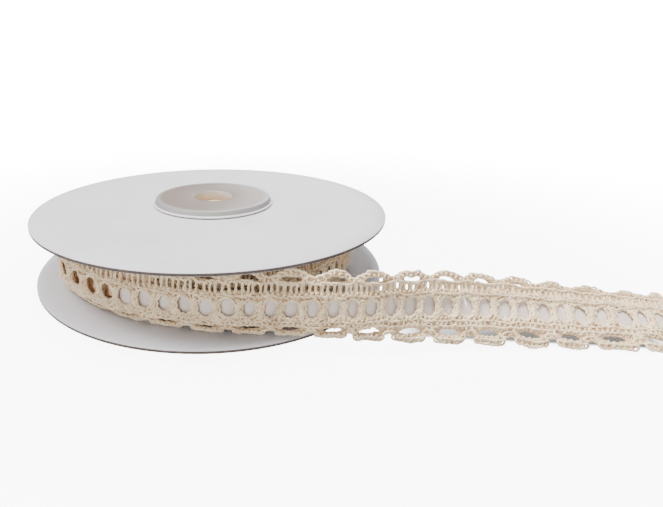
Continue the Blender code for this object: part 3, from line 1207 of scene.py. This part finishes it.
    def _add_window(self, place: float) -> None:
        """Work the yarn that runs round one eyelet.

        Args:
            place: The eyelet's middle.
        """
        wide = self.chance.uniform(*self.ring_wide) * MM
        tall = self.chance.uniform(*self.ring_tall) * MM
        tilt = self.chance.uniform(*self.ring_tilt) + float(at_count(EYELET_LEAN, place))
        for grow, level in self.ring_sizes:
            angle = np.linspace(0, TURN, self.ring_points) + self.chance.uniform(0, TURN)
            out = grow * MM + self.ring_ripple * np.sin(angle * self.ring_waves + self.chance.uniform(0, 6))
            v = (WINDOW_HEIGHT / 2 + tall + out / 2) * np.sin(angle)
            s = place + tilt * v + (WINDOW_WIDTH / 2 + wide + out) * np.cos(angle)
            w = (level + self.ring_lift * np.cos(angle * self.ring_waves)) * MM
            self.work.add(s, v, w)

    def _add_bar(self, place: float) -> None:
        """Work the three plaited strands between two eyelets, and the strand that holds the ribbon.

        Args:
            place: The bar's middle.
        """
        share = np.linspace(-self.bar_reach, self.bar_reach, self.bar_points)
        v = share * WINDOW_HEIGHT / 2
        middle = place + float(at_count(EYELET_LEAN, place)) * v
        turns = self.chance.uniform(*self.bar_turns)
        lean = self.chance.uniform(*self.bar_lean) * MM
        least, more = self.bar_spread
        for strand in range(3):
            angle = math.pi * turns * share + TURN * strand / 3 + self.chance.uniform(*self.bar_late)
            s = middle + lean * share + (least + more * share**2) * MM * np.sin(angle)
            self.work.add(s, v, self.bar_level + self.bar_depth * np.cos(angle))
        side = self.chance.uniform(*self.bar_side) * MM
        full, slope = self.holder_slope
        behind = self.holder_depth * np.clip(full - np.abs(share) * slope, 0, 1)
        self.work.add(middle + side * share, self.holder_reach * v, self.holder_level - behind)

    def _add_post(self, place: float) -> None:
        """Work one tall stitch of the row under the upper slits.

        Args:
            place: The stitch's middle.
        """
        share = np.linspace(0, 1, self.post_points)
        v = POST_LOW - self.post_lap + (POST_HIGH - POST_LOW + 2 * self.post_lap) * share
        spread = self.post_spread * (3 - 2 * float(at_count(POST_GAP_SHARE, place)))
        place += self.chance.uniform(*self.post_shift) * MM
        for way in (-1, 1):
            s = place + way * (spread + self.post_bow * np.cos(TURN * share))
            w = self.post_level + way * self.post_depth * np.sin(math.pi * share)
            self.work.add(s, v, w)

    def _add_stray(self) -> None:
        """Lay one short loose stitch over the close work, at some place where it covers no opening."""
        s = self.chance.uniform(self.start + MM, self.end - MM)
        v = self.chance.uniform(-0.5, 0.5) * (LACE_WIDTH - 2 * self.stray_edge)
        angle = self.chance.uniform(0, math.pi)
        reach = self.chance.uniform(*self.stray_reach) * MM
        step_s, step_v = reach * math.cos(angle), reach * math.sin(angle)
        if any(self._is_open(s + test * step_s, v + test * step_v) for test in self.stray_tests):
            return
        share = np.linspace(-1, 1, self.stray_points)
        bow = self.chance.uniform(*self.stray_bow) * MM * (1 - share**2)
        top, fall = self.stray_arch
        w = (top - fall * share**2) * MM + self.chance.uniform(*self.stray_rise) * MM
        s = s + step_s * share - bow * math.sin(angle)
        v = v + step_v * share + bow * math.cos(angle)
        self.work.add(s, v, w)

    def build_yarn(self, name: str) -> Piece:
        """Build the worked yarn.

        Args:
            name: The piece's name.

        Returns:
            The piece.
        """
        for row in self.rows():
            self._add_row(row)
        for add, offset, pitch, margin in (
            (self._add_window, WINDOW_PITCH / 2, WINDOW_PITCH, self.window_margin),
            (self._add_bar, 0.0, WINDOW_PITCH, self.bar_margin),
            (self._add_post, 0.0, POST_PITCH, self.post_margin),
        ):
            for place in self._places(offset, pitch, margin):
                add(place)
        for _ in range(round((self.end - self.start) / SCALLOP_PITCH * self.strays_per_repeat)):
            self._add_stray()
        return finished(self.work.mesh(name), name, [self.cotton])

    def _is_open(self, s: float, v: float) -> bool:
        """Tell whether the backing is open here.

        Args:
            s: The distance along the lace.
            v: The distance across it.

        Returns:
            Whether it is outside the scallops, or in an eyelet, a slit or a gap between tall stitches.
        """
        if not lower_edge(s) + self.lower_rim < v < upper_edge(s) - self.upper_rim:
            return True
        from_window = off_place(s - at_count(EYELET_LEAN, s) * v, WINDOW_PITCH, 0.5) * WINDOW_PITCH
        if math.hypot(from_window / (WINDOW_WIDTH / 2), v / (WINDOW_HEIGHT / 2)) < 1:
            return True
        from_lobe = off_place(s, SCALLOP_PITCH, LOBE_PLACE) * SCALLOP_PITCH
        upper_height = SLIT_HEIGHT * at_count(UPPER_SLIT_SHARE, s)
        for middle, height in (
            (LOWER_SLIT_INSET - LACE_WIDTH / 2, SLIT_HEIGHT),
            (LACE_WIDTH / 2 - UPPER_SLIT_INSET, upper_height),
        ):
            if math.hypot(from_lobe / (SLIT_LENGTH / 2), (v - middle) / (height / 2)) < 1:
                return True
        from_gap = abs(off_place(s, POST_PITCH, 0.5)) * POST_PITCH
        return POST_LOW < v < POST_HIGH and from_gap < self.post_gap * at_count(POST_GAP_SHARE, s)

    def build_backing(self, name: str) -> Piece:
        """Build the close stitches behind the worked yarn, open where the lace is.

        Args:
            name: The piece's name.

        Returns:
            The piece.
        """
        columns, rows = round((self.end - self.start) / self.cell), round(LACE_WIDTH / self.cell)
        shape = flat_strip((self.start, self.end), LACE_WIDTH, columns, rows)
        gone = [face for face in shape.faces if self._is_open(*face.calc_center_median().xy)]
        bmesh.ops.delete(shape, geom=gone, context="FACES")
        low, high = self.start + self.end_margin, self.end - self.end_margin
        rims = [v for v in shape.verts if v.is_boundary and low < v.co.x < high]
        for _ in range(self.smoothings):
            bmesh.ops.smooth_vert(shape, verts=rims, factor=0.5, use_axis_x=True, use_axis_y=True)
        s, v, _ = corners_of(shape)
        along, across = self.stitch
        stitch = np.sin(TURN * s / along) * np.sin(TURN * v / across + self.stitch_shift)
        s, v, w = self.uneven.shift(s, v, self.stitch_height * stitch - self.backing_level)
        place_corners(shape, self.path.place(s, v, w))
        # The sheet takes the darker cotton, as painted shade between the yarn.
        return finished_sheet(shape, name, self.shaded_backing, self.backing_thickness)


@dataclass
class SatinRibbon:
    """The ribbon behind the eyelets, bellied a little into each."""

    path: LacePath
    satin: Material
    width: float = 6.0 * MM
    thickness: float = 0.20 * MM
    belly: float = 0.12 * MM
    rise: float = 0.05 * MM
    cell: float = 0.53 * MM
    rows: int = 8
    waves: int = 6
    wave_length: Chance = (5, 23)
    wave_tilt: Chance = (-1.2, 1.2)
    wave_late: Chance = (0, 6.3)
    wave_height: float = 0.035 * MM
    seed: int = 5

    def build(self, name: str, start: float, end: float) -> Piece:
        """Build a length of it.

        Args:
            name: The piece's name.
            start: Where it starts along the lace.
            end: Where it ends.

        Returns:
            The piece.
        """
        shape = flat_strip((start, end), self.width, round((end - start) / self.cell), self.rows)
        layer = shape.loops.layers.uv.new("lace")
        for face in shape.faces:
            for loop in face.loops:
                loop[layer].uv = (loop.vert.co.x, loop.vert.co.y)
        s, v, _ = corners_of(shape)
        chance = np.random.default_rng(self.seed)
        w = at_count(RIBBON_LEVEL, s) * MM
        out = np.cos(math.pi * np.clip(v / self.width, -0.5, 0.5))
        w += self.belly * out * np.cos(TURN * (s / WINDOW_PITCH - 0.5))
        for _ in range(self.waves):
            length = chance.uniform(*self.wave_length) * MM
            tilt = chance.uniform(*self.wave_tilt)
            w += self.wave_height * np.sin(TURN * (s + tilt * v) / length + chance.uniform(*self.wave_late))
        place_corners(shape, self.path.place(s, v + self.rise, w))
        return finished_sheet(shape, name, self.satin, self.thickness)


@dataclass
class InnerTurns:
    """The winding under the outer turn, as one body with the next turn's stitches on its outside."""

    axis: Vector
    bottom: float
    # Its cotton is tinted more orange than the yarn's, as painted warm shade between the turns.
    cotton: Material
    hole: float
    behind_ribbon: float = 1.50 * MM
    elsewhere: float = 1.00 * MM
    ribbon_edge: float = 3.1
    ribbon_ease: float = 0.7
    columns: int = 732
    rows: int = 36
    pattern_shift: float = 1.3 * MM
    relief: float = 0.13 * MM
    stitch: Span = (0.9 * MM, 0.8 * MM)
    stitch_waver: float = 3
    lobe: float = 0.35 * MM
    lobe_rims: Span = (8, 7)
    sharp_degrees: float = 60

    def build(self) -> Piece:
        """Build the body.

        Returns:
            The piece.
        """
        shape = flat_strip((-0.5, 0.5), 1.0, self.columns, self.rows)
        share, level, _ = corners_of(shape) + 0.5
        turned = share * 360
        angle = LEAVING_ANGLE - np.radians(turned)
        s = -share * WINDOWS_ROUND_ROLL * WINDOW_PITCH + self.pattern_shift
        v = (level - 0.5) * LACE_WIDTH
        along, across = self.stitch
        relief = self.relief * np.sin(TURN * s / along + self.stitch_waver * np.sin(v / MM))
        relief *= np.sin(TURN * v / across)
        steep, flat = self.lobe_rims
        rim = np.clip(np.abs(level - 0.5) * 2 * steep - flat, 0, 1)
        lobes = self.lobe * (1 + np.sin(TURN * s / SCALLOP_PITCH)) * rim
        past_ribbon = np.clip((np.abs(v) / MM - self.ribbon_edge) / self.ribbon_ease, 0, 1)
        inset = self.behind_ribbon + (self.elsewhere - self.behind_ribbon) * past_ribbon
        radius = np.array([roll_radius(value) for value in turned]) - inset + relief - lobes
        x, y = self.axis.x + radius * np.cos(angle), self.axis.y + radius * np.sin(angle)
        place_corners(shape, np.stack([x, y, self.bottom + level * LACE_WIDTH], axis=1))
        self._close(shape)
        mesh = mesh_of(shape, "inner_turns")
        shade(mesh, self.sharp_degrees)
        piece = finished(mesh, "inner_turns", [self.cotton])
        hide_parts("lace_roll")
        return piece

    def _close(self, shape: Shape) -> None:
        """Carry the wall's upper and lower rims in to the hub's tube and close the body.

        Args:
            shape: The wall, which is open.
        """
        rim = [edge for edge in shape.edges if edge.is_boundary]
        made = bmesh.ops.extrude_edge_only(shape, edges=rim)
        inner = [part for part in made["geom"] if isinstance(part, bmesh.types.BMVert)]
        centre = Vector((self.axis.x, self.axis.y, 0.0))
        for vertex in inner:
            out = Vector((vertex.co.x, vertex.co.y, 0.0)) - centre
            place = centre + out.normalized() * self.hole
            vertex.co.x, vertex.co.y = place.x, place.y
        bmesh.ops.remove_doubles(shape, verts=inner, dist=MERGE)
        bmesh.ops.contextual_create(shape, geom=[edge for edge in shape.edges if edge.is_boundary])
        bmesh.ops.recalc_face_normals(shape, faces=shape.faces)


class View(Enum):
    """The photograph's camera, in millimetres, degrees and pixels, seen from the reel's axis."""

    FOCAL_PX = 427.13
    DISTANCE = 125.0
    HEIGHT = 55.1
    YAW = 5.95
    PITCH = 16.37
    ROLL = 0.47
    CENTRE_X = 256.35
    CENTRE_Y = 206.6


@dataclass
class Studio:
    """The camera, a pale floor and soft lights."""

    axis: Vector
    sensor_width: float = 36.0
    clip: Span = (0.005, 20.0)
    floor_tone: Colour = (0.40, 0.40, 0.40)
    floor_glow: float = 16.0
    near_glow: float = 8.0
    glow_starts: float = 0.05
    glow_full: float = 0.30
    under_lace_start: Span = (0.006, -0.0397)
    under_lace_turn: float = math.radians(-10.3)
    under_lace_share: float = 0.02
    lit_offset: float = 20 * MM
    room_light: float = 0.10
    room_glow: float = 16.0
    floor_roughness: float = 0.9
    floor_gloss: float = 0.1
    floor_front: float = -2.0
    floor_back: float = 1.3
    floor_half: float = 3.0
    floor_top: float = 2.2
    floor_drop: float = 0.02 * MM
    sweep: float = 0.5
    sweep_steps: int = 12

    def camera(self) -> None:
        """Set the camera at the photograph's viewpoint."""
        yaw, pitch, roll = (math.radians(v.value) for v in (View.YAW, View.PITCH, View.ROLL))
        forward = Vector(
            (math.sin(yaw) * math.cos(pitch), math.cos(yaw) * math.cos(pitch), -math.sin(pitch))
        )
        level = forward.cross(Vector((0, 0, 1))).normalized()
        top = level.cross(forward)
        right = level * math.cos(roll) + top * math.sin(roll)
        up = top * math.cos(roll) - level * math.sin(roll)
        data = bpy.data.cameras.new("photo_camera")
        data.sensor_width = self.sensor_width
        data.lens = View.FOCAL_PX.value / PHOTO_WIDTH * data.sensor_width
        data.shift_x = (PHOTO_WIDTH / 2 - View.CENTRE_X.value) / PHOTO_WIDTH
        data.shift_y = -(PHOTO_HEIGHT / 2 - View.CENTRE_Y.value) / PHOTO_WIDTH
        data.clip_start, data.clip_end = self.clip
        camera = in_scene("photo_camera", data)
        turn = Matrix((right, up, -forward)).transposed().to_4x4()
        place = Vector((self.axis.x, self.axis.y - View.DISTANCE.value * MM, View.HEIGHT.value * MM))
        camera.matrix_world = Matrix.Translation(place) @ turn
        bpy.context.scene.camera = camera

    def floor(self) -> None:
        """Lay the pale floor, which sweeps up behind the reel."""
        profile = [(self.floor_front, 0.0), (self.floor_back, 0.0)]
        for step in range(1, self.sweep_steps + 1):
            turn = math.pi / 2 * step / self.sweep_steps
            out, up = self.sweep * math.sin(turn), self.sweep * (1 - math.cos(turn))
            profile.append((self.floor_back + out, up))
        profile.append((self.floor_back + self.sweep, self.floor_top))
        shape = bmesh.new()
        points = [shape.verts.new((-self.floor_half, y, z - self.floor_drop)) for y, z in profile]
        edges = [shape.edges.new(pair) for pair in zip(points, points[1:])]
        made = bmesh.ops.extrude_edge_only(shape, edges=edges)["geom"]
        moved = [part for part in made if isinstance(part, bmesh.types.BMVert)]
        bmesh.ops.translate(shape, verts=moved, vec=(2 * self.floor_half, 0, 0))
        bmesh.ops.recalc_face_normals(shape, faces=shape.faces)
        mesh = mesh_of(shape, "floor")
        mesh.shade_smooth()
        mesh.materials.append(self._floor_finish())
        in_scene("floor", mesh)

    def _floor_finish(self) -> Material:
        """Make the floor's material, which shows the camera a white backdrop except in a band under the
        loose end, where the glow is left out as painted shade.

        The band under the loose end has a front, a back, a near and a far side. Each is given by its axis,
        by where it eases in millimetres, and by the glow's share before and after.

        Returns:
            The new material.
        """
        look = Surface("pale_floor")
        look.dress(Roughness=self.floor_roughness, Specular_IOR_Level=self.floor_gloss)
        look.dress(Base_Color=(*self.floor_tone, 1.0), Emission_Color=WHITE)
        where = look.node("TexCoord", {}).outputs["Object"]
        away = look.node("VectorMath", {0: where}, operation="LENGTH").outputs["Value"]
        glow = look.eased(away, (self.glow_starts, self.glow_full), (self.near_glow, self.floor_glow))
        # Painted shade: in the band under the loose end the glow is left out, so the floor there shows only
        # its own lit tone and shadow, darker than the backdrop round it.
        start, turn = (*self.under_lace_start, 0.0), (0.0, 0.0, self.under_lace_turn)
        inputs = {"Vector": where, "Location": start, "Rotation": turn}
        turned = look.node("Mapping", inputs, vector_type="TEXTURE").outputs["Vector"]
        apart = look.node("SeparateXYZ", {"Vector": turned})
        front, back, near, far = (
            look.eased(apart.outputs[label], (starts * MM, ends * MM), values)
            for label, starts, ends, values in (
                ("Y", 0.0, 1.2, (1.0, self.under_lace_share)),
                ("Y", 8.0, 15.0, (0.0, 1.0)),
                ("X", 0.0, 14.0, (1.0, 0.0)),
                ("X", 62.0, 70.0, (0.0, 1.0)),
            )
        )
        beside, beyond = look.blended("MAXIMUM", front, back), look.blended("MAXIMUM", near, far)
        glow_outside_shade_band = look.blended("MAXIMUM", beside, beyond)
        seen = look.blended("MULTIPLY", look.node("LightPath", {}).outputs["Is Camera Ray"], glow_outside_shade_band)
        look.dress(Emission_Strength=look.blended("MULTIPLY", seen, glow))
        return look.material

    def lights(self) -> None:
        """Hang the soft lights and fill the room with pale light."""
        centre = Vector((self.axis.x + self.lit_offset, self.axis.y, 0.0))
        for name, place, size, power in (
            ("key_light", (-0.52, -0.05, 0.84), 0.30, 12.0),
            ("fill_light", (-0.48, -0.82, 0.28), 0.30, 5.4),
            ("side_light", (0.62, -0.60, 0.36), 0.05, 1.3),
            ("back_light", (0.25, 0.85, 0.40), 0.50, 4.0),
            ("top_light", (0.0, 0.06, 1.0), 0.4, 20.0),
        ):
            data = bpy.data.lights.new(name, "AREA")
            data.shape = "SQUARE"
            data.size = size
            data.energy = power
            where = centre + Vector(place)
            turn = (centre - where).to_track_quat("-Z", "Y").to_matrix().to_4x4()
            in_scene(name, data).matrix_world = Matrix.Translation(where) @ turn
        world = bpy.data.worlds.new("soft_room")
        world.use_nodes = True
        room = NodeWork(world.node_tree)
        ray = room.node("LightPath", {}).outputs["Is Camera Ray"]
        inputs = {0: ray, 1: self.room_glow, 2: self.room_light}
        strength = room.node("Math", inputs, operation="MULTIPLY_ADD").outputs[0]
        room.feed(room.nodes["Background"], {"Color": WHITE, "Strength": strength})
        bpy.context.scene.world = world


@dataclass
class LaceReel:
    """The whole reel, built round the frame's nodes."""

    axis: Vector
    path: LacePath
    uneven: Unevenness = field(default_factory=Unevenness)

    def build(self) -> None:
        """Build each sub-assembly in order."""
        cotton = CottonFinish("cream_cotton", (0.95, 0.79, 0.53), (0.70, 0.50, 0.30)).material()
        # The backing's cotton is a darker copy of the yarn's: painted shade in the gaps between the yarn.
        shaded_backing = CottonFinish("cream_cotton_shaded_backing", (0.70, 0.50, 0.30), (0.54, 0.36, 0.20)).material()
        # The inner turns' cotton is a more orange copy of the yarn's, so that the shade between the turns
        # comes out browner: painted warm shade.
        inner = CottonFinish("cream_cotton_inner_shade_tinted", (0.96, 0.72, 0.46), (0.74, 0.51, 0.30)).material()
        satin = SatinFinish().material()
        faces = CardFinish("white_card", (0.62, 0.60, 0.625), (0.55, 0.53, 0.555), 60.0, 0.6).material()
        cut = CardFinish("card_cut_edge", (0.13, 0.10, 0.088), (0.08, 0.062, 0.054), 900.0, 0.9).material()
        for node, seed in (("disc_lower", 0.6), ("disc_upper", 2.3)):
            report(CardDisc(node, self.axis, faces, cut, seed=seed).build())
        self.build_hub()
        self.build_lace(cotton, shaded_backing, satin)
        report(InnerTurns(self.axis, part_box("lace_roll")[0].z, inner, WINDING_HOLE).build())

    def build_hub(self) -> None:
        """Build both halves of the hub."""
        low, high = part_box("hub_upper")
        rim = (high.x - low.x) / 2
        finish = HubFinish().material(self.axis, rim - HUB_FACE_INSET, rim)
        bore = CardFinish("hub_bore", (0.50, 0.42, 0.35), (0.42, 0.34, 0.28), 300.0, 0.5).material()
        hub = Hub(self.axis, finish, bore)
        for node, is_upper in (("hub_lower", False), ("hub_upper", True)):
            report(hub.build_half(node, is_upper))

    def build_lace(self, cotton: Material, shaded_backing: Material, satin: Material) -> None:
        """Build the outer turn, the loose end and their ribbons.

        Args:
            cotton: The worked yarn's material.
            shaded_backing: The close stitches' material, darker than the yarn's as painted shade.
            satin: The ribbon's material.
        """
        ribbon = SatinRibbon(self.path, satin)
        leaving = WINDOW_PITCH / 2
        inner_end, far, near = (leaving - repeats * SCALLOP_PITCH for repeats in LACE_JOINS)
        tail_end = self.path.tail_end()
        roll_ribbon = ribbon.build("ribbon_roll", inner_end, WINDOW_PITCH)
        tail_ribbon = ribbon.build("ribbon_loose_end", WINDOW_PITCH, tail_end)
        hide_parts("ribbon_tail")
        report(roll_ribbon)
        report(tail_ribbon)
        for name, start, end, seed, extra in (
            ("roll_right", inner_end, far, 3, []),
            ("roll_back", far, near, 6, []),
            ("roll_left", near, leaving, 4, [roll_ribbon]),
            ("loose_end", leaving, tail_end, 5, [tail_ribbon]),
        ):
            lace = CrochetLace(self.path, self.uneven, start, end, cotton, shaded_backing, seed)
            yarn = lace.build_yarn("lace_yarn_" + name)
            sheet = lace.build_backing("lace_" + name)
            node = "lace_tail" if name == "loose_end" else "lace_roll"
            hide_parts(node)
            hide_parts(node)
            report(yarn)
            report(sheet)


def report(piece: Piece) -> None:
    """Log a piece's name and how many faces it has."""
    LOG.info("%s: %d faces", piece.name, len(piece.data.polygons))


def main() -> None:
    """Build the studio and the reel."""
    logging.basicConfig(level=logging.INFO, format="%(name)s %(message)s")
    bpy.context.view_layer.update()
    low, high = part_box("disc_upper")
    axis = Vector(((low.x + high.x) / 2, (low.y + high.y) / 2, 0.0))
    studio = Studio(axis)
    studio.camera()
    studio.floor()
    studio.lights()
    path = LacePath(axis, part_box("lace_roll")[0].z)
    LaceReel(axis, path).build()
    bpy.context.view_layer.update()


if __name__ == "__main__":
    main()
